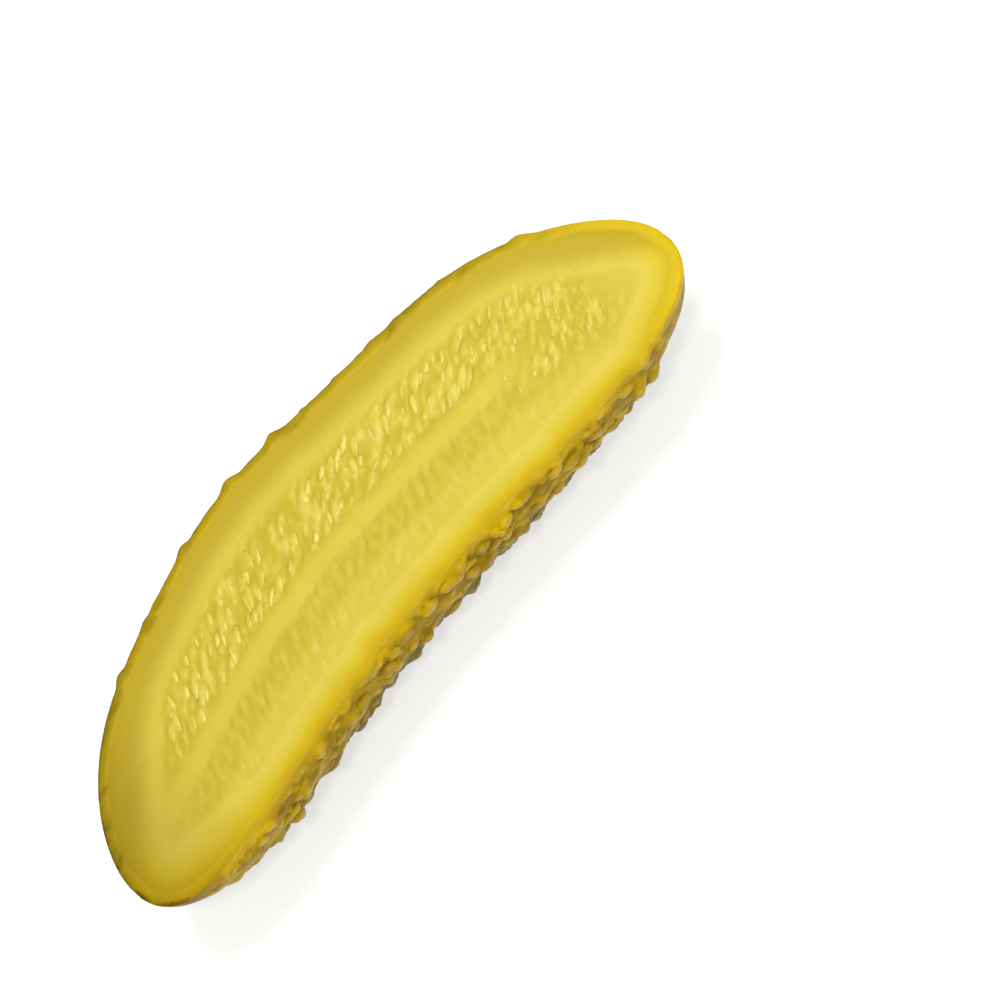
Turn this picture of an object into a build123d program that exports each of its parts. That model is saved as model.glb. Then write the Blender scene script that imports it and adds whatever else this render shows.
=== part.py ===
from build123d import *
import os
from math import atan2, cos, degrees, pi, radians, sin, sqrt
from random import Random

# A small pickled cucumber cut in half lengthwise: one solid, lying on its round back with the cut face up.
# X runs from end to end, +Y is the outer side of its bend, +Z points up out of the cut face.
# While it is modelled, the cut face lies in the plane Z = 0 and the thickest part of the axis at Y = 0.
# At the end it moves to its origin: the middle of its box, on the surface it rests on.
# Lengths are in mm and angles in degrees.

# Overall form
length = 108.0  # end to end
girth = 32.5  # diameter where it is thickest
thickest_x = -7.0  # where that is, from the middle of the length
blunt_left = 3.4  # how blunt the -X end is: 2 is an ellipse, more is blunter
blunt_right = 3.7  # the same for the +X end
bend_left = 10.8  # how far the -X end bends over towards -Y
bend_right = 9.4  # the same for the +X end
lift = 3.9  # how far both ends rise above the middle of the back
curl = 2.1  # power of the bend and of the rise: 2 is a parabola
scar_radius = 1.3  # the small flat scar at each end

# Cut face and resting spot
cut_height = 3.9  # the cut face above the axis where it is thickest
rest_depth = 0.8  # what the flat resting spot takes off the round back

# Unevenness of the skin
lobe_height = 0.25  # three blunt lengthwise lobes, as in every cucumber
swell_height = 0.6  # slow swellings along the outer side of the bend
swell_pitch = 44.0
swell_x = -7.5  # top of one swelling

# Warts
wart_spacing = 5.8
wart_width = 4.0
wart_height = 0.75
wart_margin = 12.0  # bare skin at each end
wart_scatter = 1.0

# Seed core in the cut face: the vein runs along its middle, and flesh lies between it and the skin
flesh_outer = 7.4  # flesh on the +Y side
flesh_inner = 4.6  # flesh on the -Y side
flesh_left = 11.5  # flesh at the -X end
flesh_right = 8.0  # flesh at the +X end
core_taper = 1.1  # how much sooner a row ends for each mm that it lies from the vein

# Seed pockets
pocket_width = 1.3
pocket_depth = 0.4
pocket_scatter = 0.35

# Each row of pockets: place from the vein to the core's edge, where -1 is the -Y edge and 1 the +Y edge,
# then pocket length, pitch along the row and lean from the axis
seed_rows = [
    (0.80, 3.0, 2.7, 48.0),
    (0.53, 2.8, 2.5, 48.0),
    (0.27, 2.6, 2.6, 42.0),
    (-0.33, 4.2, 2.0, 82.0),
    (-0.76, 2.4, 2.4, 74.0),
]

# How finely the skin is followed
SECTIONS = 120
SECTION_POINTS = 80
END_CROWDING = 1.35  # sections lie closer together near the ends, where the body turns in
GOLDEN_ANGLE = 137.508


def share(x):
    """How far x lies from the thickest place towards the end on its side: 0 there, 1 at the end."""
    if x < thickest_x:
        return (thickest_x - x) / (length / 2 + thickest_x)
    return (x - thickest_x) / (length / 2 - thickest_x)


def body_radius(x):
    """Radius of the body at x, falling to the scar's at both ends."""
    blunt = blunt_left if x < thickest_x else blunt_right
    fullness = max(0.0, 1 - share(x) ** blunt)
    return sqrt(scar_radius**2 + ((girth / 2) ** 2 - scar_radius**2) * fullness)


def axis_y(x):
    """The axis bends over towards -Y at both ends."""
    bend = bend_left if x < thickest_x else bend_right
    return -bend * share(x) ** curl


def axis_z(x):
    """The axis lies below the cut face and rises towards both ends."""
    return lift * share(x) ** curl - cut_height


def wart_places():
    """Warts as (x, angle, size), spread evenly by the golden angle and then scattered a little."""
    chance = Random(4)
    span = length - 2 * wart_margin
    count = round(span * pi * girth / wart_spacing**2)
    places = []
    for i in range(count):
        x = -span / 2 + span * (i + 0.5) / count + chance.uniform(-wart_scatter, wart_scatter)
        scatter = degrees(wart_scatter / body_radius(x))
        angle = GOLDEN_ANGLE * i + chance.uniform(-scatter, scatter)
        places.append((x, angle, chance.uniform(0.7, 1.15)))
    return places


def wart_relief(x, angle, places):
    """How far the warts raise the skin at x and at an angle round the axis."""
    relief = 0.0
    for wart_x, wart_angle, size in places:
        reach = wart_width / 2 * size
        along = x - wart_x
        if abs(along) < reach:
            turn = (angle - wart_angle + 180) % 360 - 180
            away = sqrt(along**2 + (radians(turn) * body_radius(x)) ** 2) / reach
            if away < 1:
                relief = max(relief, wart_height * size * (1 - away**2) ** 1.5)
    return relief


def skin_point(x, angle, places):
    """A point on the warty skin. The angle counts round the axis from +Y towards +Z."""
    fullness = body_radius(x) / (girth / 2)
    lobes = lobe_height * cos(radians(3 * angle + 90))
    outer_side = (1 + cos(radians(angle))) / 2
    swelling = swell_height * outer_side * cos(2 * pi * (x - swell_x) / swell_pitch)
    radius = fullness * (girth / 2 + lobes + swelling) + wart_relief(x, angle, places)
    return (x, axis_y(x) + radius * cos(radians(angle)), axis_z(x) + radius * sin(radians(angle)))


def section(x, places):
    """Outline of the body in the plane across the axis at x. It starts at the top, which is cut off."""
    steps = [i / SECTION_POINTS for i in range(SECTION_POINTS + 1)]
    points = [Vector(*skin_point(x, 90 + 360 * step, places)) for step in steps[:-1]]
    outline = Edge.make_spline(points, periodic=True, parameters=steps)
    return Face(Wire([outline]))


def whole_body():
    """The uncut gherkin, lofted from end to end."""
    places = wart_places()
    turns = [END_CROWDING * (2 * i / (SECTIONS - 1) - 1) for i in range(SECTIONS)]
    stations = [length / 2 * sin(turn) / sin(END_CROWDING) for turn in turns]
    return loft([section(x, places) for x in stations])


def seed_bar(size):
    """A bar with round ends, lying along X, that hollows out a seed's pocket."""
    radius = pocket_width / 2
    bar = Rot(0, 90, 0) * Cylinder(radius, size - pocket_width)
    ends = [Pos(side * (size / 2 - radius), 0, 0) * Sphere(radius) for side in (-1, 1)]
    return bar + ends


def core_half_width(x):
    """Half the width of the seed core at x: half the cut face less the flesh, which thins with the body."""
    fullness = body_radius(x) / (girth / 2)
    face_half_width = sqrt(body_radius(x) ** 2 - axis_z(x) ** 2)
    return face_half_width - fullness * (flesh_outer + flesh_inner) / 2


def vein_y(x):
    """The vein lies midway between the two sides' flesh."""
    return axis_y(x) + body_radius(x) / (girth / 2) * (flesh_inner - flesh_outer) / 2


def seed_pockets():
    """Bars for the rows of pockets on both sides of the vein, following the bend of the core."""
    chance = Random(9)
    pockets = []
    for place_across, size, pitch, lean in seed_rows:
        bars = [seed_bar(size * part) for part in (0.8, 0.95, 1.1)]
        taper = core_taper * abs(place_across) * core_half_width(thickest_x)
        first = flesh_left + taper - length / 2
        last = length / 2 - flesh_right - taper
        for i in range(int((last - first) / pitch)):
            x = first + pitch * (i + 0.5) + chance.uniform(-pocket_scatter, pocket_scatter)
            y = vein_y(x) + place_across * core_half_width(x)
            y += chance.uniform(-pocket_scatter, pocket_scatter)
            slope = degrees(atan2(vein_y(x + 1) - vein_y(x - 1), 2))
            turn = slope + lean + chance.uniform(-9, 9)
            place = Pos(x, y, pocket_width / 2 - pocket_depth) * Rot(0, 0, turn)
            pockets.append(place * chance.choice(bars))
    return pockets


def gherkin_half():
    """The warty body, cut along its top and flattened a little where it rests, with its seed pockets."""
    reach = 2 * length
    above = Pos(0, 0, reach / 2) * Box(reach, reach, reach)
    below = Pos(0, 0, rest_z - reach / 2) * Box(reach, reach, reach)
    return whole_body() - [above, below] - seed_pockets()


rest_z = rest_depth - cut_height - girth / 2

os.makedirs("parts", exist_ok=True)
half = gherkin_half()
box = half.bounding_box()
half = Pos(-box.center().X, -box.center().Y, -rest_z) * half
half.label = "gherkin_half"
print("size", half.bounding_box().size, "volume", round(half.volume), "mm3")
export_step(half, "parts/gherkin_half.step")
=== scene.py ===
# %% [markdown]
# # A halved pickled gherkin
# This lesson dresses the CAD model of a small pickled cucumber that was cut in half lengthwise.
# The CAD model fixes the size and the shape. Blender adds what the eye looks for: wet flesh with a
# soft grain, pale seeds that lie half sunk in it, and a warty skin that is gold at the cut and turns
# olive and brown below.
# Everything is in metres, and the cut face looks up.

# %% Load the CAD model
import math
import random

import bpy
import numpy as np
from mathutils import Matrix, Vector, noise
from mathutils.kdtree import KDTree


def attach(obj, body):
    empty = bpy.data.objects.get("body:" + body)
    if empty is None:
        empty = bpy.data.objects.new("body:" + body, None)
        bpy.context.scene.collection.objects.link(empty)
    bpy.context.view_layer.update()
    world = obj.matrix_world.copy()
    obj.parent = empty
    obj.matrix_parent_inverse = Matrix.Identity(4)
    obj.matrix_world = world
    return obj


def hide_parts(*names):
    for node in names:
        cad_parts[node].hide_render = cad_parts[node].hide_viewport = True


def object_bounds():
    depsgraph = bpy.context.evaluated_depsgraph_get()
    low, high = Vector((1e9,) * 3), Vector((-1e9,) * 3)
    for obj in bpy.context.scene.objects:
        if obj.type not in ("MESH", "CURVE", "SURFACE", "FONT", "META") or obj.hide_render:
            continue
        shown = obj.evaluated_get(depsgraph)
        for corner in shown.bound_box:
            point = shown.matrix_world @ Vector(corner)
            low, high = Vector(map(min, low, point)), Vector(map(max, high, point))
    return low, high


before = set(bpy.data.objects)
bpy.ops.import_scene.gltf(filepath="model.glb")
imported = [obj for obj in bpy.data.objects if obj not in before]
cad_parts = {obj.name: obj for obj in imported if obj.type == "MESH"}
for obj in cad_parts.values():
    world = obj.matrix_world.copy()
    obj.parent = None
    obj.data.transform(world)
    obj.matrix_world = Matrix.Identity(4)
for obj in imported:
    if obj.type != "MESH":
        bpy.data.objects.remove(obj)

MM = 0.001
cad_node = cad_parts["gherkin_half"]
cad_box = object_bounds()
low, high = cad_box
middle = (low + high) / 2
length = high.x - low.x
print("CAD box in mm:", [round(v / MM, 2) for v in high - low])

# %% [markdown]
# ## Working by hand in code
# Operators act on what is selected, so each step starts by selecting one object and nothing else.
# A modifier is a recipe that stays open. Applying it turns the recipe into plain mesh, which is
# what an export wants. CAD meshes come as loose triangles, so their corners have to be merged
# before anything can bend them.

# %% Selecting, merging, and applying modifiers
MERGE_WITHIN = 0.001 * MM


def pick(thing):
    """Selects one object and nothing else."""
    bpy.ops.object.select_all(action="DESELECT")
    thing.select_set(True)
    bpy.context.view_layer.objects.active = thing


def merge_corners(thing):
    """Makes triangles that only touch each other share their corners."""
    pick(thing)
    bpy.ops.object.mode_set(mode="EDIT")
    bpy.ops.mesh.select_all(action="SELECT")
    bpy.ops.mesh.remove_doubles(threshold=MERGE_WITHIN)
    bpy.ops.object.mode_set(mode="OBJECT")


def finish_with(thing, kind, **settings):
    """Adds a modifier, sets it and applies it."""
    pick(thing)
    modifier = thing.modifiers.new(kind.title(), kind)
    for name, value in settings.items():
        setattr(modifier, name, value)
    bpy.ops.object.modifier_apply(modifier=modifier.name)


# %% [markdown]
# ## The body
# Flesh and skin are one piece of fruit, so they are one mesh. The CAD triangles are of every size,
# and subdividing them would keep the long thin ones long and thin. So a copy is remeshed with voxels:
# small even squares all over, fine enough to carry wrinkles and warts. Two rounds of smoothing take
# the steps out of the cut edge and leave it a little rounded, as a knife leaves soft flesh.

# %% Copy the CAD mesh and give it even squares
VOXEL = 0.27 * MM
body = bpy.data.objects.new("gherkin_body", cad_node.data.copy())
bpy.context.scene.collection.objects.link(body)
body.data.materials.clear()
merge_corners(body)
finish_with(body, "REMESH", mode="VOXEL", voxel_size=VOXEL)
finish_with(body, "SMOOTH", factor=0.5, iterations=2)
print("body squares:", len(body.data.polygons))

# %% [markdown]
# ## Points as rows of numbers
# Moving so many points one by one is slow in Python. Blender can hand them all over at once, as one
# long row of numbers, and numpy then does each sum on the whole row.


# %% Reading and moving all points at once
def corners(thing):
    """The mesh's points as rows of x, y, z."""
    spots = np.empty(len(thing.data.vertices) * 3)
    thing.data.vertices.foreach_get("co", spots)
    return spots.reshape(-1, 3)


def normals(thing):
    """The direction in which the surface looks at each point."""
    directions = np.empty(len(thing.data.vertices) * 3)
    thing.data.vertices.foreach_get("normal", directions)
    return directions.reshape(-1, 3)


def move_corners(thing, spots):
    """Puts the mesh's points at new places."""
    thing.data.vertices.foreach_set("co", np.ascontiguousarray(spots).ravel())
    thing.data.update()


def smooth_step(values, start, end):
    """0 before start, 1 after end, and a soft rise between."""
    share = np.clip((values - start) / (end - start), 0, 1)
    return share * share * (3 - 2 * share)


# %% [markdown]
# ## Measuring the cut face
# Colour and relief follow the fruit and not the world: how far a point lies from the skin, where it
# lies between the two sides, whether it is skin or flesh. Painting that by hand would fit one size of
# gherkin only. So a guide is measured: the two sides of the cut face, as curves along X. Warts make
# bumps in these curves, and averaging each place with its neighbours takes them out.

# %% The two sides of the cut face
SLICE = 0.5 * MM
RIM_DEPTH = 0.9 * MM
places = corners(body)
facing = normals(body)
top = high.z
depth = top - places[:, 2]
slices = np.round(places[:, 0] / SLICE).astype(int)
slice_numbers = np.arange(slices.min(), slices.max() + 1)
near_top = depth < RIM_DEPTH
side_low = np.array([places[near_top & (slices == n), 1].min() for n in slice_numbers])
side_high = np.array([places[near_top & (slices == n), 1].max() for n in slice_numbers])
slice_x = slice_numbers * SLICE
middle_width = float(np.interp(0, slice_x, side_high - side_low))
print("cut face at the middle, mm wide:", round(middle_width / MM, 1))


# %% A guide without the bumps
def steady(values):
    """A curve in which each place is averaged with its neighbours."""
    weights = np.hanning(11) / np.hanning(11).sum()
    return np.convolve(np.pad(values, 5, "edge"), weights, "valid")


guide_low = steady(side_low)
guide_high = steady(side_high)
largest_bump = float(np.abs(guide_low - side_low).max())
print("bumps taken out of the guide, up to mm:", round(largest_bump / MM, 2))


def side_to_side(x, y):
    """Where a point lies between the sides: 0 at the -Y side, 1 at the +Y side."""
    one = np.interp(x, slice_x, guide_low)
    two = np.interp(x, slice_x, guide_high)
    return np.clip((y - one) / np.maximum(two - one, 1 * MM), 0, 1)


def point_on_face(x, share):
    """The y that lies at a share of the way from the -Y side to the +Y side."""
    one = float(np.interp(x, slice_x, guide_low))
    two = float(np.interp(x, slice_x, guide_high))
    return one + (two - one) * share


# %% [markdown]
# ## From the skin inwards
# A cut gherkin has plain flesh under the skin and a core with seeds in the middle. A KD tree finds the
# nearest of many spots quickly, so it gives each point's distance to the edge of the cut. Divided by
# the thickness of the flesh, that distance is 0 at the skin and 1 where the core begins. The flesh is
# thinner on the -Y side and thicker at the two ends.


# %% How far each point is from the skin
def nearest_finder(numbered_spots):
    """A tree that finds the nearest of many numbered spots."""
    tree = KDTree(len(numbered_spots))
    for number, spot in numbered_spots:
        tree.insert(spot, number)
    tree.balance()
    return tree


rim = [(x, y, top) for x, y in zip(slice_x, side_low)]
rim += [(x, y, top) for x, y in zip(slice_x, side_high)]
for end in (0, -1):
    rim += [(slice_x[end], y, top) for y in np.arange(side_low[end], side_high[end], SLICE)]
rim_tree = nearest_finder(list(enumerate(rim)))
from_skin = np.array([rim_tree.find((x, y, top))[2] for x, y, z in places])
across = side_to_side(places[:, 0], places[:, 1])
in_face = smooth_step(from_skin, 0.3 * MM, 1.2 * MM) * (depth < 0.7 * MM) * (facing[:, 2] > 0.3)
print("points:", len(places), "of which cut face:", int((in_face > 0.5).sum()))

# %% Where the seed core begins
flesh_thickness = 4.6 * MM + 2.8 * MM * smooth_step(across, 0.3, 0.7)
flesh_thickness += 3.5 * MM * smooth_step(-places[:, 0], 30 * MM, 46 * MM)
flesh_thickness += 1.5 * MM * smooth_step(places[:, 0], 36 * MM, 48 * MM)
inward = np.clip(from_skin / flesh_thickness, 0, 1.6)
core = smooth_step(inward, 0.85, 1.1)
print("points of the seed core:", int((core > 0.5).sum()))

# %% [markdown]
# ## Finding the seed pockets
# The CAD face has a shallow pocket for every seed chamber. Seeds that are scattered at random would
# miss them, so the pockets are searched for in the CAD mesh itself: groups of points that lie below
# the face and hang together by edges. Every point starts with its own number and takes the smallest
# number among its neighbours, again and again, until each pocket has one number.

# %% Points that lie below the cut face
finder_mesh = bpy.data.meshes.new_from_object(cad_node)
pocket_finder = bpy.data.objects.new("pocket_finder", finder_mesh)
bpy.context.scene.collection.objects.link(pocket_finder)
merge_corners(pocket_finder)
spots = corners(pocket_finder)
below_face = top - spots[:, 2]
sunk = (below_face > 0.02 * MM) & (below_face < 0.6 * MM)
share = side_to_side(spots[:, 0], spots[:, 1])
sunk &= (share > 0.1) & (share < 0.9) & (np.abs(spots[:, 0]) < 0.45 * length)
print("points in pockets:", int(sunk.sum()))

# %% Points that hang together
edges = np.empty(len(finder_mesh.edges) * 2, dtype=int)
finder_mesh.edges.foreach_get("vertices", edges)
edges = edges.reshape(-1, 2)
edges = edges[sunk[edges[:, 0]] & sunk[edges[:, 1]]]
group = np.arange(len(spots))
before = np.zeros(len(spots))
while (before != group).any():
    before = group.copy()
    least = np.minimum(group[edges[:, 0]], group[edges[:, 1]])
    np.minimum.at(group, edges[:, 0], least)
    np.minimum.at(group, edges[:, 1], least)
print("groups of points:", len(np.unique(group[sunk])))

# %% [markdown]
# Each group gives a place, a direction and a length. The direction is the one in which its points
# spread most, and numpy's eigh finds that from how x and y vary together. The pockets stand in two
# rows, and the widest gap between the rows is the smooth vein.

# %% Each pocket's place, direction and length
FEWEST_POINTS = 9
pockets = []
for name in np.unique(group[sunk]):
    floor_points = spots[sunk & (group == name), :2]
    if len(floor_points) >= FEWEST_POINTS:
        centre = (floor_points.min(axis=0) + floor_points.max(axis=0)) / 2
        values, directions = np.linalg.eigh(np.cov((floor_points - centre).T))
        way = directions[:, 1] * np.sign(directions[1, 1])
        reach = (floor_points - centre) @ way
        pockets.append((centre, way, reach.max() - reach.min()))
bpy.data.objects.remove(pocket_finder)
shares = np.sort([float(side_to_side(centre[0], centre[1])) for centre, way, size in pockets])
gap = int(np.argmax(np.diff(shares)))
vein = (shares[gap] + shares[gap + 1]) / 2
print("pockets:", len(pockets), "vein at share", round(vein, 3))

# %% [markdown]
# ## Where the seeds go
# Ripe seeds lie in the pockets of the outer side and between them. Towards +X they stand steeper than
# their pockets. Beyond the last pockets the seeds are small and unripe, and lie on both sides of the
# vein. A place counts only when the other seeds leave room for it. The random numbers start from a
# fixed number, so that every run gives the same fruit.

# %% Places for the ripe seeds
STREAK_LEAN = math.radians(46)
random.seed(5)
seed_spots = []
for centre, way, size in pockets:
    if side_to_side(centre[0], centre[1]) < vein:
        continue
    steeper = float(smooth_step(centre[0], 0.05 * length, 0.25 * length))
    angle = math.atan2(way[1], way[0]) * (1 - steeper) + STREAK_LEAN * steeper
    way = np.array([math.cos(angle), math.sin(angle)])
    seed_spots.append((centre, way, size))
    between = centre + np.array([1.4 + random.uniform(-0.3, 0.3), random.uniform(-0.7, 0.7)]) * MM
    if random.random() < 0.8 and vein + 0.04 < side_to_side(between[0], between[1]) < 0.86:
        seed_spots.append((between, way, size))
print("places for ripe seeds:", len(seed_spots))

# %% Places for the unripe seeds
UNRIPE = 1.9 * MM
ROOM = 1.35 * MM
TRIES = 220
streak_way = np.array([math.cos(STREAK_LEAN), math.sin(STREAK_LEAN)])
for _ in range(TRIES):
    spot_x = random.uniform(0.24, 0.41) * length
    spot = np.array([spot_x, point_on_face(spot_x, random.uniform(0.32, 0.68))])
    if all(np.hypot(*(spot - taken[0])) > ROOM for taken in seed_spots):
        seed_spots.append((spot, streak_way, UNRIPE))
print("places for all seeds:", len(seed_spots))

# %% [markdown]
# ## Relief of the cut face
# A knife leaves flesh smooth and slightly wavy. The seed core is rougher: it sinks a little, the seed
# chambers lean one way on the outer side and stand across on the inner side, like a comb, and a
# smooth vein runs between them. Bump in a material would not show at the edge or in a profile, so
# the points themselves are moved up or down by noise, as a sculptor would push them. Noise that is
# stretched along a direction gives grain. Worley noise gives the distance to the nearest of many
# scattered centres, and a dome is high where that distance is small.


# %% Stretched noise and scattered domes
def grain(along, over, seed):
    """Noise at points given as two distances, each already divided by the size of a grain."""
    return np.array([noise.noise((a, b, seed)) for a, b in zip(along, over)])


def beads(points, reach, seed, roundness):
    """Domes over scattered centres about 1 apart: 1 at a dome's top, 0 between domes."""
    heights = np.empty(len(points))
    for number, point in enumerate(points + seed):
        distances, centres = noise.voronoi(point)
        size = reach * (0.85 + 0.6 * noise.noise(centres[0] * 5.3))
        heights[number] = max(0, 1 - (distances[0] / size) ** 2) ** roundness * size / reach
    return heights


# %% [markdown]
# The face gets directions of its own: along the leaning chambers and across them, and outwards from
# the vein. Each band of the core is then a mask between 0 and 1. Towards +X the outer band spreads
# over the whole core, where the fruit is young and the vein is lost.

# %% Directions on the face
face_points = np.nonzero(in_face > 0)[0]
x = places[face_points, 0]
y = places[face_points, 1]
width = np.interp(x, slice_x, guide_high - guide_low)
from_vein = (across[face_points] - vein) * width
leaning = x * math.cos(STREAK_LEAN) + from_vein * math.sin(STREAK_LEAN)
beside = -x * math.sin(STREAK_LEAN) + from_vein * math.cos(STREAK_LEAN)
pocket_depth = np.clip(top - places[face_points, 2], 0, 0.4 * MM)
print("points of the face:", len(face_points))

# %% Bands of the seed core
face_core = core[face_points]
spread = smooth_step(x, 0.22 * length, 0.32 * length) * smooth_step(from_vein, -7 * MM, -3 * MM)
outer_band = face_core * np.maximum(smooth_step(from_vein, 0.6 * MM, 2.6 * MM), spread)
outer_band *= 1 - smooth_step(-x, 0.35 * length, 0.41 * length)
outer_band *= 1 - 0.7 * smooth_step(x, 0.37 * length, 0.42 * length)
inner_band = face_core * smooth_step(-from_vein, 0.7 * MM, 1.6 * MM) * (1 - 0.8 * spread)
comb_band = inner_band * (1 - smooth_step(-from_vein, 4.6 * MM, 6.4 * MM))
comb_band *= 1 - smooth_step(np.abs(x), 0.35 * length, 0.42 * length)
vein_band = face_core * (1 - smooth_step(np.abs(from_vein), 0.8 * MM, 1.9 * MM)) * (1 - spread)
border = np.exp(-(((inward[face_points] - 0.95) / 0.07) ** 2)) * (from_vein < 0)
border *= 1 - smooth_step(np.abs(x), 0.32 * length, 0.42 * length)
print("points in the outer band:", int((outer_band > 0.5).sum()))
print("points in the comb:", int((comb_band > 0.5).sum()))

# %% Chambers and ribs
CHAMBER_LENGTH = 3.4 * MM
CHAMBER_WIDTH = 1.15 * MM
wander = 0.5 * MM * grain(x / (4 * MM), from_vein / (4 * MM), 6.0)
chamber_spots = [leaning / CHAMBER_LENGTH, (beside + wander) / CHAMBER_WIDTH, 0 * x]
domes = beads(np.stack(chamber_spots, axis=1), 0.72, 11.0, 1.0)
upper_ends = grain(leaning / (1.7 * MM), (beside + wander) / (0.9 * MM), 7.0)
fine_streaks = grain(leaning / (1.3 * MM), beside / (0.45 * MM), 9.0)
ribs = grain(x / (0.95 * MM) - from_vein / (2.2 * MM), (from_vein + 2 * wander) / (1.9 * MM), 4.0)
print("highest dome:", round(float(domes.max()), 2))

# %% A low mound round each seed
MOUND_REACH = 3 * MM
mounds = np.zeros(len(face_points))
for centre, way, size in seed_spots:
    near_x = np.abs(x - centre[0]) < MOUND_REACH
    near = np.nonzero(near_x & (np.abs(y - centre[1]) < MOUND_REACH))[0]
    along = (x[near] - centre[0]) * way[0] + (y[near] - centre[1]) * way[1]
    over = (y[near] - centre[1]) * way[0] - (x[near] - centre[0]) * way[1]
    far = (along / (0.65 * size)) ** 2 + (over / (0.26 * size)) ** 2
    mounds[near] = np.maximum(mounds[near], np.exp(-far * far))
print("points on mounds:", int((mounds > 0.5).sum()))

# %% Push the points of the face
crests = 0.55 * domes + 0.5 * mounds + 0.5 * upper_ends + 0.5 * spread * fine_streaks
crests = np.clip(crests, 0, 1)
rise = 0.08 * MM * grain(x / (11 * MM), y / (6 * MM), 1.0)
rise -= 0.03 * MM * face_core
rise += (0.85 + 0.1 * (from_vein < 0)) * pocket_depth
rise += 0.22 * MM * outer_band * (crests - 0.6)
rise += outer_band * 0.07 * MM * grain(leaning / (1.6 * MM), beside / (0.6 * MM), 3.0)
rise -= comb_band * 0.04 * MM
rise += inner_band * 0.13 * MM * ribs
rise += vein_band * MM * (0.01 + 0.04 * grain(x / (9 * MM), from_vein / (0.5 * MM), 5.0))
rise += border * 0.02 * MM
places[face_points, 2] += rise * in_face[face_points]
move_corners(body, places)
finish_with(body, "SMOOTH", factor=0.5, iterations=1)
places = corners(body)
print("face moved by", round(rise.min() / MM, 2), "to", round(rise.max() / MM, 2), "mm")

# %% [markdown]
# ## Relief of the skin
# The CAD body has the large warts. Between them the skin of a gherkin is beaded all over: round bumps
# of two sizes, close together, that die out at the smooth ends. There are too many to model one by
# one, so the domes of the cut face serve again, this time in all three directions, and push each
# point the way its surface looks.

# %% Beads scattered over the skin
LARGE_BEAD = 2.4 * MM
SMALL_BEAD = 1.35 * MM
is_skin = np.clip(smooth_step(depth, 0.4 * MM, 1.7 * MM) + (facing[:, 2] < -0.2), 0, 1)
is_skin *= smooth_step(places[:, 2], 0.02 * MM, 0.9 * MM)
ends = smooth_step(np.abs(places[:, 0] + 2 * MM), 0.33 * length, 0.46 * length)
skin_points = np.nonzero(is_skin > 0.01)[0]
skin_spots = places[skin_points]
stretched = skin_spots * np.array([0.75, 1, 1])
bumps = 0.56 * MM * beads(stretched / LARGE_BEAD, 0.52, 3.0, 0.8)
bumps += 0.24 * MM * beads(stretched / SMALL_BEAD, 0.50, 9.0, 0.8)
bumps *= 1 - 0.88 * ends[skin_points]
bumps += 0.20 * MM * np.array([noise.noise(spot) for spot in skin_spots / (6 * MM)])
places[skin_points] += facing[skin_points] * ((bumps - 0.10 * MM) * is_skin[skin_points])[:, None]
places[:, 2] = np.clip(places[:, 2], low.z, None)
move_corners(body, places)
print("skin bumps up to", round(bumps.max() / MM, 2), "mm")

# %% [markdown]
# The material paints a highlight on the tops of the warts and shade in the hollow ground between them.
# A material cannot feel how high a point stands, so that is measured here: a copy of the body is
# smoothed until the warts are gone, and each point's height over that copy says whether it is a top or
# a hollow.

# %% How far each point of the skin stands out
smoothed = bpy.data.objects.new("smoothed", body.data.copy())
bpy.context.scene.collection.objects.link(smoothed)
finish_with(smoothed, "SMOOTH", factor=0.5, iterations=40)
standing_out = ((places - corners(smoothed)) * normals(smoothed)).sum(axis=1)
bpy.data.objects.remove(smoothed)
print("warts stand out by up to", round(standing_out.max() / MM, 2), "mm")

# %% [markdown]
# ## Numbers that a material can read
# An attribute is a number that is stored with each point. The material reads it by name, so the
# colours fit the relief exactly, and they stay in place when the mesh is thinned.


# %% Keep the numbers with the points
def keep(thing, name, values):
    """Stores one number for each point, for a material to read."""
    layer = thing.data.attributes.new(name, "FLOAT", "POINT")
    layer.data.foreach_set("value", np.ascontiguousarray(values, dtype=np.float32))


def on_face(values):
    """The values of the face points, and 0 everywhere else."""
    everywhere = np.zeros(len(places))
    everywhere[face_points] = values
    return everywhere


wavy = np.array([noise.noise((x / (5 * MM), y / (5 * MM), 8.0)) for x, y, z in places])
keep(body, "skin", 1 - smooth_step(from_skin, 0.0, 0.5 * MM) * (depth < 0.6 * MM))
keep(body, "inward", inward)
keep(body, "rim", np.clip((from_skin + 0.3 * MM * wavy) / (4 * MM), 0, 1))
keep(body, "across", across)
keep(body, "comb", on_face(comb_band))
keep(body, "seeded", on_face(outer_band))
# The material paints shade in the pockets and where "crest" is low, and a highlight where it is high.
keep(body, "pocket", on_face(pocket_depth / (0.4 * MM) * (0.35 + 0.65 * (from_vein > 0))))
keep(body, "crest", on_face(outer_band * crests + comb_band * np.clip(ribs + 0.5, 0, 1)))
keep(body, "pale", on_face(np.clip(border + 0.2 * vein_band, 0, 1)))
keep(body, "wart", np.clip(standing_out / (0.34 * MM) * 0.5 + 0.5, 0, 1))
keep(body, "below_cut", np.clip(depth / (20 * MM), 0, 1))
keep(body, "edge", 1 - smooth_step(depth, 0.8 * MM, 1.8 * MM))
print("numbers kept:", [layer.name for layer in body.data.attributes if layer.data_type == "FLOAT"])

# %% [markdown]
# ## A lighter mesh
# Even squares are wasteful where the surface is flat. Decimate merges them there and leaves them
# small where it bends, until the piece has as many triangles as it may. The heights of the face are
# put in a tree first, so that the seeds can be laid on it later.

# %% Thin the mesh where it is flat
MOST_TRIANGLES = 190000


def triangles(thing):
    """How many triangles the mesh makes."""
    return sum(len(face.vertices) - 2 for face in thing.data.polygons)


flat_spots = [(int(n), (places[n, 0], places[n, 1], 0)) for n in face_points]
face_tree = nearest_finder(flat_spots)
count = triangles(body)
finish_with(body, "DECIMATE", ratio=min(1.0, MOST_TRIANGLES / count))
print("body triangles:", count, "thinned to", triangles(body))


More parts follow.
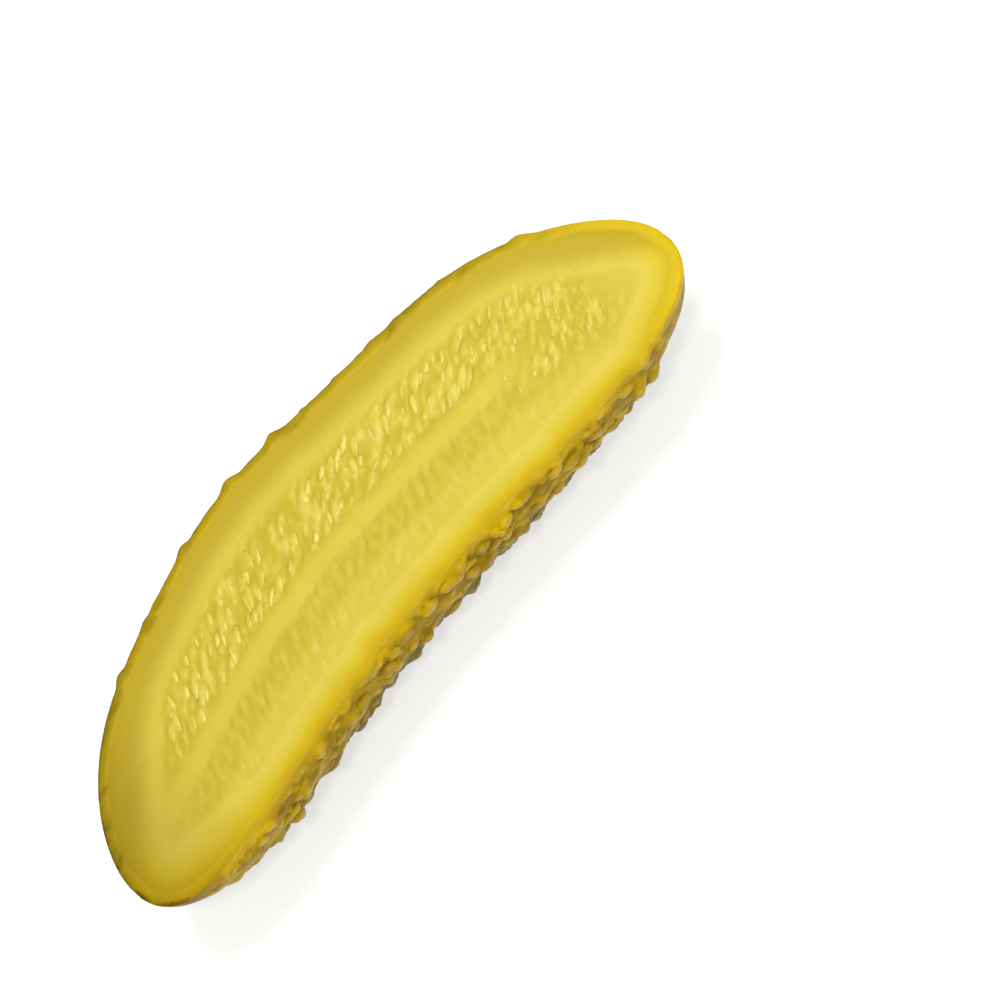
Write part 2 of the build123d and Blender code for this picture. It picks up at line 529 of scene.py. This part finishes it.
def face_height(x, y, reach):
    """The mean height of the finished cut face round a place."""
    near = face_tree.find_range((x, y, 0), reach)
    return sum(places[number, 2] for spot, number, far in near) / len(near)


# %% [markdown]
# ## Nodes written as sums
# A material is a graph of nodes. Long chains of Math nodes are hard to read, so one small class wraps
# a socket: plus, minus and times on it add the Math nodes. Every other node comes from one method
# that takes the node's type, its settings and what goes into its sockets.


# %% A socket that can be used in sums
class Flow:
    """A socket's value. Sums on it add Math nodes to its recipe."""

    def __init__(self, recipe, socket):
        self.recipe = recipe
        self.socket = socket

    def maths(self, operation, *values, clamp=False):
        settings = {"operation": operation, "use_clamp": clamp}
        return self.recipe.add("ShaderNodeMath", settings, dict(enumerate(values)))

    def __add__(self, other):
        return self.maths("ADD", self, other)

    def __sub__(self, other):
        return self.maths("SUBTRACT", self, other)

    def __rsub__(self, other):
        return self.maths("SUBTRACT", other, self)

    def __mul__(self, other):
        return self.maths("MULTIPLY", self, other)

    def __truediv__(self, other):
        return self.maths("DIVIDE", self, other)

    __radd__ = __add__
    __rmul__ = __mul__

    def clamped(self):
        return self.maths("ADD", self, 0.0, clamp=True)

    def rise(self, start, end):
        """0 below start, 1 above end, and a soft rise between."""
        settings = {"interpolation_type": "SMOOTHSTEP"}
        inputs = {"Value": self, "From Min": start, "From Max": end}
        return self.recipe.add("ShaderNodeMapRange", settings, inputs)


# %% A recipe that adds nodes
# A Mix node has sockets for every kind of value. These are the numbers of those for colours.
MIX_SHARE = 0
MIX_FIRST = 6
MIX_SECOND = 7
MIX_RESULT = 2


class Recipe:
    """A material's node graph."""

    def __init__(self, name):
        self.material = bpy.data.materials.new(name)
        self.material.use_nodes = True
        self.tree = self.material.node_tree
        self.tree.nodes.clear()

    def add(self, kind, settings=None, inputs=None, output=0):
        """Adds a node, sets it, feeds its sockets, and gives one of its outputs."""
        node = self.tree.nodes.new(kind)
        for name, value in (settings or {}).items():
            if name == "stops":
                self.set_stops(node.color_ramp, value)
            else:
                setattr(node, name, value)
        for name, value in (inputs or {}).items():
            if isinstance(value, Flow):
                self.tree.links.new(value.socket, node.inputs[name])
            else:
                node.inputs[name].default_value = value
        return Flow(self, node.outputs[output]) if len(node.outputs) else None

    def set_stops(self, ramp, stops):
        while len(ramp.elements) < len(stops):
            ramp.elements.new(1.0)
        for element, (place, colour) in zip(ramp.elements, stops):
            element.position = place
            element.color = (*colour, 1.0)

    def attribute(self, name):
        return self.add("ShaderNodeAttribute", {"attribute_name": name}, output="Fac")

    def place(self, scale=(1, 1, 1), turn=(0, 0, 0)):
        """Object coordinates, stretched or turned."""
        where = self.add("ShaderNodeTexCoord", output="Object")
        inputs = {"Vector": where, "Scale": scale, "Rotation": turn}
        return self.add("ShaderNodeMapping", inputs=inputs)

    def noise(self, where, scale, detail):
        inputs = {"Vector": where, "Scale": scale, "Detail": detail}
        return self.add("ShaderNodeTexNoise", inputs=inputs, output="Fac")

    def blend(self, share, one, two, mode="MIX"):
        """A colour between two colours, or one laid over the other."""
        settings = {"data_type": "RGBA", "blend_type": mode}
        inputs = {MIX_SHARE: share, MIX_FIRST: one, MIX_SECOND: two}
        for number in (MIX_FIRST, MIX_SECOND):
            if not isinstance(inputs[number], Flow):
                inputs[number] = (*inputs[number], 1.0)
        return self.add("ShaderNodeMix", settings, inputs, output=MIX_RESULT)

    def ramp(self, share, stops):
        return self.add("ShaderNodeValToRGB", {"stops": stops}, {"Fac": share}, output="Color")

    def bump(self, height, strength, distance):
        """A fine relief that only tilts the light."""
        inputs = {"Strength": strength, "Distance": distance, "Height": height}
        return self.add("ShaderNodeBump", inputs=inputs)

    def shader(self, **inputs):
        """A Principled shader."""
        return self.add("ShaderNodeBsdfPrincipled", inputs=inputs)

    def finish(self, shader):
        """Puts the output on the end."""
        self.add("ShaderNodeOutputMaterial", inputs={"Surface": shader})
        return self.material


# %% [markdown]
# ## Flesh
# Pickled flesh is pale yellow in the middle and turns gold towards the skin. One material does flesh
# and skin, with the "skin" attribute deciding between them, so that they melt into each other as on
# the fruit. Two materials on one mesh would meet in a hard line of faces. The flesh starts as two
# ramps, from the skin inwards: one for the -Y side and a duller one for the +Y side.

# %% Flesh from the skin inwards
gherkin = Recipe("pickled_flesh_and_skin")
plain = gherkin.place()
inward_share = gherkin.attribute("inward")
outer_side = gherkin.attribute("across").rise(0.35, 0.75)
inner_flesh = gherkin.ramp(
    inward_share,
    [
        (0.0, (0.60, 0.38, 0.002)),
        (0.24, (0.66, 0.45, 0.003)),
        (0.48, (0.75, 0.58, 0.030)),
        (0.85, (0.79, 0.64, 0.086)),
        (1.0, (0.76, 0.60, 0.072)),
    ],
)
outer_flesh = gherkin.ramp(
    inward_share,
    [
        (0.0, (0.42, 0.27, 0.003)),
        (0.14, (0.56, 0.39, 0.006)),
        (0.26, (0.58, 0.42, 0.020)),
        (0.5, (0.59, 0.44, 0.036)),
        (0.8, (0.74, 0.59, 0.070)),
        (1.0, (0.77, 0.61, 0.072)),
    ],
)
flesh = gherkin.blend(outer_side, inner_flesh, outer_flesh)
print("nodes so far:", len(gherkin.tree.nodes))

# %% [markdown]
# The seed core has painted light and shade that follow its relief: a painted highlight on the crests
# of the chambers, and painted shade in the gaps between them, in the pockets and between the ribs of
# the comb, whose band is also a little darker all over. The attributes that were kept with the points
# say which is which, and stretched noise adds flecks that are finer than the mesh.

# %% Colours of the seed core, with painted highlight and shade
crest = gherkin.attribute("crest")
seeded = gherkin.attribute("seeded")
comb = gherkin.attribute("comb")
comb_tone_and_rib_shade = (0.57, 0.44, 0.018)
pocket_shade = (0.55, 0.42, 0.012)
chamber_gap_shade = (0.58, 0.45, 0.018)
crest_highlight = (0.88, 0.76, 0.18)
dark_fleck = (0.60, 0.47, 0.022)
pale_line = (0.84, 0.69, 0.080)
cloud = (0.60, 0.45, 0.030)
across_streaks = gherkin.place(turn=(0, 0, -STREAK_LEAN), scale=(0.45, 1.0, 1.0))
flecks = gherkin.noise(across_streaks, 800.0, 4.0)
cloudy = gherkin.noise(plain, 110.0, 4.0)
# Painted shade between the comb's ribs, over a slightly darker tone of the whole comb band.
flesh = gherkin.blend(comb * 0.15 + comb * (1 - crest) * 0.5, flesh, comb_tone_and_rib_shade)
# Painted shade in the pockets.
flesh = gherkin.blend(gherkin.attribute("pocket") * 0.35, flesh, pocket_shade)
# Painted shade in the gaps between the chambers.
flesh = gherkin.blend(seeded * (1 - crest.rise(0.1, 0.8)) * 0.65, flesh, chamber_gap_shade)
# Painted highlight on the crests of the chambers.
flesh = gherkin.blend(seeded * (crest + flecks * 0.8).rise(0.9, 1.5) * 0.5, flesh, crest_highlight)
flesh = gherkin.blend(seeded * (1 - flecks).rise(0.5, 0.7) * 0.3, flesh, dark_fleck)
flesh = gherkin.blend(gherkin.attribute("pale") * 0.5, flesh, pale_line)
flesh = gherkin.blend(cloudy.rise(0.35, 0.8) * 0.22, flesh, cloud)
print("nodes so far:", len(gherkin.tree.nodes))

# %% [markdown]
# The flesh is darker towards the -X end: partly because the fruit is riper and duller there, and
# partly as painted shade where the light falls off towards that end. A ramp along X is multiplied over
# the flesh, which darkens it there and leaves its pattern as it is.

# %% Darker flesh towards one end: duller fruit and painted shade
along_x = gherkin.add("ShaderNodeSeparateXYZ", inputs={0: plain}, output="X")
along_fruit = along_x / length + 0.5
shade = gherkin.ramp(
    along_fruit,
    [
        (0.02, (0.62, 0.60, 0.50)),
        (0.08, (0.74, 0.72, 0.66)),
        (0.16, (0.90, 0.90, 0.90)),
        (0.5, (0.95, 0.95, 0.95)),
        (1.0, (1.0, 1.0, 1.0)),
    ],
)
flesh = gherkin.blend(1.0, flesh, shade, "MULTIPLY")
print("nodes so far:", len(gherkin.tree.nodes))

# %% [markdown]
# ## The rind
# Just inside the edge of the cut runs a narrow band in which the skin's colour has soaked into the
# flesh: gold on the -Y side, patchy olive on the +Y side, bright yellow at the +X end, with brown
# spots at the -X tip. The "rim" attribute is the distance from the skin with a little noise in it, so
# the band is not of one width.

# %% The band inside the edge
rim_share = gherkin.attribute("rim")
patches = gherkin.noise(gherkin.place(scale=(0.4, 1.0, 1.0)), 420.0, 4.0)
olive_band = gherkin.ramp(
    rim_share,
    [
        (0.02, (0.24, 0.160, 0.001)),
        (0.12, (0.44, 0.30, 0.001)),
        (0.30, (0.53, 0.38, 0.003)),
        (0.40, (0.63, 0.47, 0.030)),
    ],
)
gold_band = gherkin.ramp(
    rim_share,
    [
        (0.02, (0.55, 0.35, 0.001)),
        (0.22, (0.64, 0.43, 0.002)),
        (0.42, (0.72, 0.52, 0.010)),
    ],
)
yellow_band = gherkin.ramp(
    rim_share,
    [
        (0.02, (0.84, 0.60, 0.012)),
        (0.14, (0.76, 0.54, 0.004)),
        (0.42, (0.70, 0.52, 0.012)),
    ],
)
dark_patch = (0.20, 0.145, 0.001)
tip_brown = (0.14, 0.070, 0.001)
tip_spots = (1 - along_fruit.rise(0.03, 0.13)) * (1 - rim_share.rise(0.05, 0.20))
tip_spots = tip_spots * patches.rise(0.40, 0.55)
olive_band = gherkin.blend(patches.rise(0.45, 0.68) * 0.55, olive_band, dark_patch)
band = gherkin.blend(outer_side, gold_band, olive_band)
band = gherkin.blend(along_fruit.rise(0.84, 0.98), band, yellow_band)
band = gherkin.blend(tip_spots * 0.8, band, tip_brown)
# The dulling and the painted shade towards the -X end darken the band too.
band = gherkin.blend(1.0, band, shade, "MULTIPLY")
flesh = gherkin.blend(1 - rim_share.rise(0.34, 0.50), flesh, band)
print("nodes so far:", len(gherkin.tree.nodes))

# %% [markdown]
# ## Skin
# Under the cut the skin is gold, because light comes through the flesh there. Lower down it is brown
# and then khaki. Each of these is a small ramp over a mottled noise and not one flat colour, since
# brine takes the green out of a skin unevenly. Height below the cut decides which one shows.

# %% Skin from the cut downwards
below = gherkin.attribute("below_cut")
mottle = gherkin.noise(plain, 330.0, 5.0)
blotch = gherkin.noise(plain, 95.0, 2.0)


def mottled(dark, middling, light):
    """A colour that varies as the mottled noise does."""
    return gherkin.ramp(mottle, [(0.30, dark), (0.5, middling), (0.70, light)])


golden_brown = mottled((0.26, 0.150, 0.001), (0.42, 0.260, 0.002), (0.55, 0.365, 0.006))
brown = mottled((0.15, 0.090, 0.002), (0.26, 0.170, 0.005), (0.38, 0.265, 0.014))
khaki = mottled((0.11, 0.075, 0.004), (0.19, 0.140, 0.010), (0.29, 0.225, 0.028))
deep_khaki = (0.17, 0.14, 0.008)
brown = gherkin.blend(outer_side, golden_brown, brown)
khaki = gherkin.blend(blotch.rise(0.45, 0.65) * 0.5, khaki, deep_khaki)
gold = gherkin.blend(mottle.rise(0.35, 0.65), (0.48, 0.30, 0.001), (0.72, 0.47, 0.002))
print("nodes so far:", len(gherkin.tree.nodes))

# %% The edge of the cut, seen from the skin's side
edge_olive = gherkin.blend(patches.rise(0.40, 0.66), (0.34, 0.24, 0.001), (0.12, 0.075, 0.001))
edge_yellow = gherkin.blend(mottle.rise(0.35, 0.65), (0.66, 0.45, 0.003), (0.82, 0.58, 0.010))
edge_spots = gherkin.blend(patches.rise(0.42, 0.6), (0.30, 0.18, 0.001), (0.060, 0.030, 0.001))
edge_olive = gherkin.blend(1 - along_fruit.rise(0.02, 0.14), edge_olive, edge_spots)
edge_colour = gherkin.blend(along_fruit.rise(0.75, 0.95), edge_olive, edge_yellow)
gold = gherkin.blend(1 - along_fruit.rise(0.02, 0.10), gold, edge_spots)
edge_colour = gherkin.blend(outer_side, gold, edge_colour)
skin_colour = gherkin.blend((below + blotch * 0.2).rise(0.40, 0.65), brown, khaki)
skin_colour = gherkin.blend(1 - (below + blotch * 0.10).rise(0.08, 0.20), skin_colour, gold)
print("nodes so far:", len(gherkin.tree.nodes))

# %% [markdown]
# The tops of the warts get a painted highlight, and the hollow ground between them painted shade. At
# the two smooth ends there are no warts, and faint pale and dark streaks run along the fruit instead:
# noise that is stretched along X makes them.

# %% Painted highlight on warts, painted shade between them, and streaked ends
wart = gherkin.attribute("wart")
low_down = below.rise(0.25, 0.55)
wart_top_highlight = gherkin.blend(low_down, (0.62, 0.43, 0.016), (0.42, 0.33, 0.075))
wart_top_highlight = gherkin.blend(outer_side, wart_top_highlight, (0.45, 0.34, 0.060))
hollow_shade = gherkin.blend(low_down, (0.14, 0.075, 0.001), (0.080, 0.045, 0.002))
pale_streak = (0.46, 0.37, 0.085)
dark_streak = (0.17, 0.105, 0.004)
smooth_ends = along_fruit.rise(0.84, 0.97) + 1 - along_fruit.rise(0.03, 0.15)
streaks = gherkin.noise(gherkin.place(scale=(0.12, 1.0, 1.0)), 240.0, 3.0)
pale_share = smooth_ends * streaks.rise(0.48, 0.66) * 0.5
dark_share = smooth_ends * (1 - streaks).rise(0.5, 0.66) * 0.5
# Painted highlight on the wart tops, then painted shade in the hollow ground between them.
skin_colour = gherkin.blend(wart.rise(0.5, 0.95) * 0.5, skin_colour, wart_top_highlight)
skin_colour = gherkin.blend((1 - wart).rise(0.46, 0.78) * 0.85, skin_colour, hollow_shade)
skin_colour = gherkin.blend(pale_share, skin_colour, pale_streak)
skin_colour = gherkin.blend(dark_share, skin_colour, dark_streak)
skin_colour = gherkin.blend(gherkin.attribute("edge") * 0.8, skin_colour, edge_colour)
print("nodes so far:", len(gherkin.tree.nodes))

# %% [markdown]
# ## Wet surfaces
# Flesh lets some light in and hands it back a little further on, which is what subsurface does: red
# travels furthest, blue hardly at all. Brine leaves a thin film, made with a weak coat on the flesh
# and a stronger one on the tops of the warts only. A coat over the whole skin would mirror the white
# room in it and turn the brown grey, and so would a strong specular, so that is kept low.

# %% Finish of the flesh
SUBSURFACE_REACH = 1.6 * MM
pores = gherkin.noise(plain, 1400.0, 4.0)
strings = gherkin.noise(gherkin.place(scale=(0.12, 1.0, 1.0)), 1300.0, 3.0)
flesh_settings = {
    "Base Color": flesh,
    "Roughness": 0.38 + pores * 0.08,
    "IOR": 1.34,
    "Specular IOR Level": 0.16,
    "Normal": gherkin.bump(pores * 0.5 + strings * 0.5, 0.2, 0.12 * MM),
    "Subsurface Weight": 0.25,
    "Subsurface Radius": (1.0, 0.7, 0.12),
    "Subsurface Scale": SUBSURFACE_REACH,
    "Coat Weight": rim_share.rise(0.4, 0.9) * 0.12,
    "Coat Roughness": 0.12,
    "Coat IOR": 1.34,
}

# %% Finish of the skin
fine = gherkin.noise(plain, 1500.0, 4.0)
skin_settings = {
    "Base Color": skin_colour,
    "Roughness": 0.30 + mottle * 0.12,
    "IOR": 1.34,
    "Specular IOR Level": 0.08,
    "Normal": gherkin.bump(fine, 0.35, 0.15 * MM),
    "Subsurface Weight": 0.04,
    "Subsurface Radius": (1.0, 0.6, 0.05),
    "Subsurface Scale": SUBSURFACE_REACH,
    "Coat Weight": wart.rise(0.5, 0.75) * 0.6,
    "Coat Roughness": 0.07,
    "Coat IOR": 1.42,
}

# %% Flesh and skin on the body
skin = gherkin.attribute("skin")
both = {"Fac": skin, 1: gherkin.shader(**flesh_settings), 2: gherkin.shader(**skin_settings)}
surface = gherkin.add("ShaderNodeMixShader", inputs=both)
body.data.materials.append(gherkin.finish(surface))
pick(body)
bpy.ops.object.shade_smooth()
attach(body, "root")
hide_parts("gherkin_half")
print("nodes in the body's material:", len(gherkin.tree.nodes))

# %% [markdown]
# ## Seeds
# A cucumber seed is a flat drop. One is modelled from a ball: flattened, then narrowed towards its
# tip. Drawing it as an outline and thickening that would leave an edge, and a seed has none. It needs
# few faces, because there are many seeds and they are small. The "crown" attribute is high on its
# back, where the material paints a highlight, while its sides keep the colour of the flesh around
# them.

# %% Model one seed
SEED_LENGTH = 3.7 * MM
SEED_SHAPE = (1.0, 0.38, 0.12)
CROWN_HEIGHT = 0.06 * SEED_LENGTH
bpy.ops.object.select_all(action="DESELECT")
bpy.ops.mesh.primitive_uv_sphere_add(
    segments=12, ring_count=6, radius=SEED_LENGTH / 2, rotation=(0, math.pi / 2, 0)
)
seed = bpy.context.object
seed.name = "seed"
bpy.ops.object.transform_apply(location=True, rotation=True, scale=True)
bpy.ops.object.mode_set(mode="EDIT")
bpy.ops.mesh.select_all(action="SELECT")
bpy.ops.transform.resize(value=SEED_SHAPE, center_override=(0, 0, 0))
bpy.ops.mesh.select_all(action="DESELECT")
bpy.ops.object.mode_set(mode="OBJECT")
for start, narrow in ((0.35, 0.85), (0.6, 0.8), (0.85, 0.7)):
    for corner in seed.data.vertices:
        corner.select = corner.co.x > start * SEED_LENGTH / 2
    bpy.ops.object.mode_set(mode="EDIT")
    bpy.ops.transform.resize(value=(1, narrow, narrow), center_override=(0, 0, 0))
    bpy.ops.mesh.select_all(action="DESELECT")
    bpy.ops.object.mode_set(mode="OBJECT")
keep(seed, "crown", [max(0, corner.co.z) / CROWN_HEIGHT for corner in seed.data.vertices])
print("one seed:", len(seed.data.polygons), "faces")

# %% [markdown]
# Each copy has its own mesh and lies in the face with its tip to the vein, most of it sunk in the
# flesh, a little turned and rocked so that no two look alike. A few places stay empty. All seeds are
# joined into one piece at the end.


# %% Lay the seeds
def lay(original, place, turn, tip, rock, size):
    """A copy with its own mesh, turned in the face, tipped along and rocked about its length."""
    copy = bpy.data.objects.new(original.name, original.data.copy())
    spin = Matrix.Rotation(turn, 4, "Z") @ Matrix.Rotation(tip, 4, "Y")
    spin = spin @ Matrix.Rotation(rock, 4, "X")
    copy.matrix_world = Matrix.Translation(place) @ spin @ Matrix.Diagonal((*size, 1))
    bpy.context.scene.collection.objects.link(copy)
    return copy


EMPTY_SHARE = 0.06
UNRIPE_SCALE = 0.62
seeds = []
for centre, way, size in seed_spots:
    if random.random() < EMPTY_SHARE:
        continue
    turn = math.atan2(-way[1], -way[0]) + random.uniform(-0.2, 0.2)
    ripe = UNRIPE_SCALE if size == UNRIPE else 1.0
    sink = random.uniform(0.14, 0.24) * MM * ripe
    place = (centre[0], centre[1], face_height(centre[0], centre[1], 0.8 * MM) - sink)
    scale = random.uniform(0.8, 1.1) * ripe
    sizes = (scale * random.uniform(0.95, 1.15), scale * random.uniform(0.85, 1.15), scale)
    tip = random.uniform(-0.1, 0.1)
    rock = random.uniform(-0.25, 0.25)
    seeds.append(lay(seed, place, turn, tip, rock, sizes))
bpy.data.objects.remove(seed)
print("seeds:", len(seeds))


# %% Join the seeds into one piece
def join(things, name):
    """One object from many, with its place in its mesh."""
    bpy.ops.object.select_all(action="DESELECT")
    for thing in things:
        thing.select_set(True)
    bpy.context.view_layer.objects.active = things[0]
    bpy.ops.object.join()
    joined = bpy.context.object
    joined.name = name
    bpy.ops.object.transform_apply(location=True, rotation=True, scale=True)
    return joined


seeds = join(seeds, "seeds")
bpy.ops.object.shade_smooth()
print("seeds piece:", len(seeds.data.polygons), "faces")

# %% [markdown]
# A seed's shell is paler than the flesh and has fine ridges, and its back gets a painted highlight. It
# has no subsurface: half of each seed lies in the dark inside the flesh, and light that was lost there
# would draw a dark line round it.

# %% Seed material
shell = Recipe("seed_shell")
tone = shell.noise(shell.place(), 330.0, 2.0)
ridges = shell.noise(shell.place(), 2500.0, 3.0)
# Paler towards the crown: a painted highlight on the seed's back, over the shell's random tone.
shell_colour_and_highlight = shell.ramp(
    shell.attribute("crown") + tone * 1.6 - 0.95,
    [
        (0.3, (0.66, 0.52, 0.040)),
        (0.7, (0.73, 0.58, 0.060)),
        (1.0, (0.82, 0.68, 0.11)),
    ],
)
shell_settings = {
    "Base Color": shell_colour_and_highlight,
    "Roughness": 0.30 + tone * 0.1,
    "IOR": 1.36,
    "Normal": shell.bump(ridges, 0.2, 0.1 * MM),
    "Coat Weight": 0.2,
    "Coat Roughness": 0.16,
    "Coat IOR": 1.42,
}
seeds.data.materials.append(shell.finish(shell.shader(**shell_settings)))
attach(seeds, "root")

# %% [markdown]
# ## The floor
# Food is often shown on pure white with a soft shadow. A white floor alone comes out grey, and more
# light on it would burn out the gherkin. So the floor gives off a little light of its own, which
# only the camera and mirrors see. The shadow stays, and the fruit is not lit from below.

# %% A white floor that keeps the shadow
FLOOR_GLOW = 0.48
bpy.ops.object.select_all(action="DESELECT")
bpy.ops.mesh.primitive_circle_add(vertices=96, radius=1.5, fill_type="NGON", location=(0, 0, 0))
floor = bpy.context.object
floor.name = "floor"
paper = Recipe("white_floor")
seen = paper.add("ShaderNodeLightPath", output="Is Camera Ray")
seen = seen + paper.add("ShaderNodeLightPath", output="Is Glossy Ray")
seen = seen + paper.add("ShaderNodeLightPath", output="Is Transmission Ray")
glow_settings = {"Color": (1, 1, 1, 1), "Strength": seen.clamped() * FLOOR_GLOW}
cloth = paper.add("ShaderNodeBsdfDiffuse", inputs={"Color": (0.74, 0.74, 0.73, 1)})
glow = paper.add("ShaderNodeEmission", inputs=glow_settings)
floor_surface = paper.add("ShaderNodeAddShader", inputs={0: cloth, 1: glow})
floor.data.materials.append(paper.finish(floor_surface))

# %% [markdown]
# ## Light
# A wide key lamp almost straight above gives the soft shadow, and a wide fill in front opens the skin
# below the cut. Two small lamps add glints on the wet warts and seeds. A lamp's size sets how soft
# its shadow and its glint are.


# %% Lamps and world
def soft_light(name, place, size, power):
    """A square lamp that looks at the middle of the part."""
    lamp = bpy.data.lights.new(name, "AREA")
    lamp.size = size
    lamp.energy = power
    thing = bpy.data.objects.new(name, lamp)
    thing.location = place
    thing.rotation_euler = (middle - Vector(place)).to_track_quat("-Z", "Y").to_euler()
    bpy.context.scene.collection.objects.link(thing)


soft_light("key", (0.10, 0.14, 0.85), 0.24, 2.65)
soft_light("fill", (0.05, -0.66, 0.48), 0.4, 2.1)
soft_light("glint_above", (0.16, 0.45, 0.66), 0.07, 0.5)
soft_light("glint_side", (-0.06, -0.27, 0.78), 0.08, 1.1)
world = bpy.context.scene.world or bpy.data.worlds.new("studio")
bpy.context.scene.world = world
world.use_nodes = True
background = world.node_tree.nodes["Background"]
background.inputs["Color"].default_value = (1, 1, 1, 1)
background.inputs["Strength"].default_value = 0.36

# %% [markdown]
# ## Camera
# The camera looks down steeply from the -Y side and is rolled, so that the fruit lies aslant in the
# picture. It stands far off with a long lens, which keeps both ends in proportion. The lens follows
# from how wide a view is wanted at that distance.

# %% Camera
ELEVATION = math.radians(65)
ROLL = math.radians(50.6)
DISTANCE = 0.60
VIEW_WIDTH = 0.1305
SENSOR_WIDTH = 36
forward = Vector((0, math.cos(ELEVATION), -math.sin(ELEVATION)))
plain_up = Vector((0, math.sin(ELEVATION), math.cos(ELEVATION)))
right = Vector((1, 0, 0)) * math.cos(ROLL) - plain_up * math.sin(ROLL)
up = Vector((1, 0, 0)) * math.sin(ROLL) + plain_up * math.cos(ROLL)
aim = middle + right * 16.1 * MM + up * 5.4 * MM
camera_data = bpy.data.cameras.new("camera")
camera_data.sensor_width = SENSOR_WIDTH
camera_data.lens = SENSOR_WIDTH * DISTANCE / VIEW_WIDTH
camera = bpy.data.objects.new("camera", camera_data)
camera.matrix_world = Matrix((right, up, -forward)).transposed().to_4x4()
camera.location = aim - forward * DISTANCE
bpy.context.scene.collection.objects.link(camera)
bpy.context.scene.camera = camera
bpy.context.scene.view_settings.view_transform = "Standard"
print("lens, mm:", round(camera_data.lens, 1))
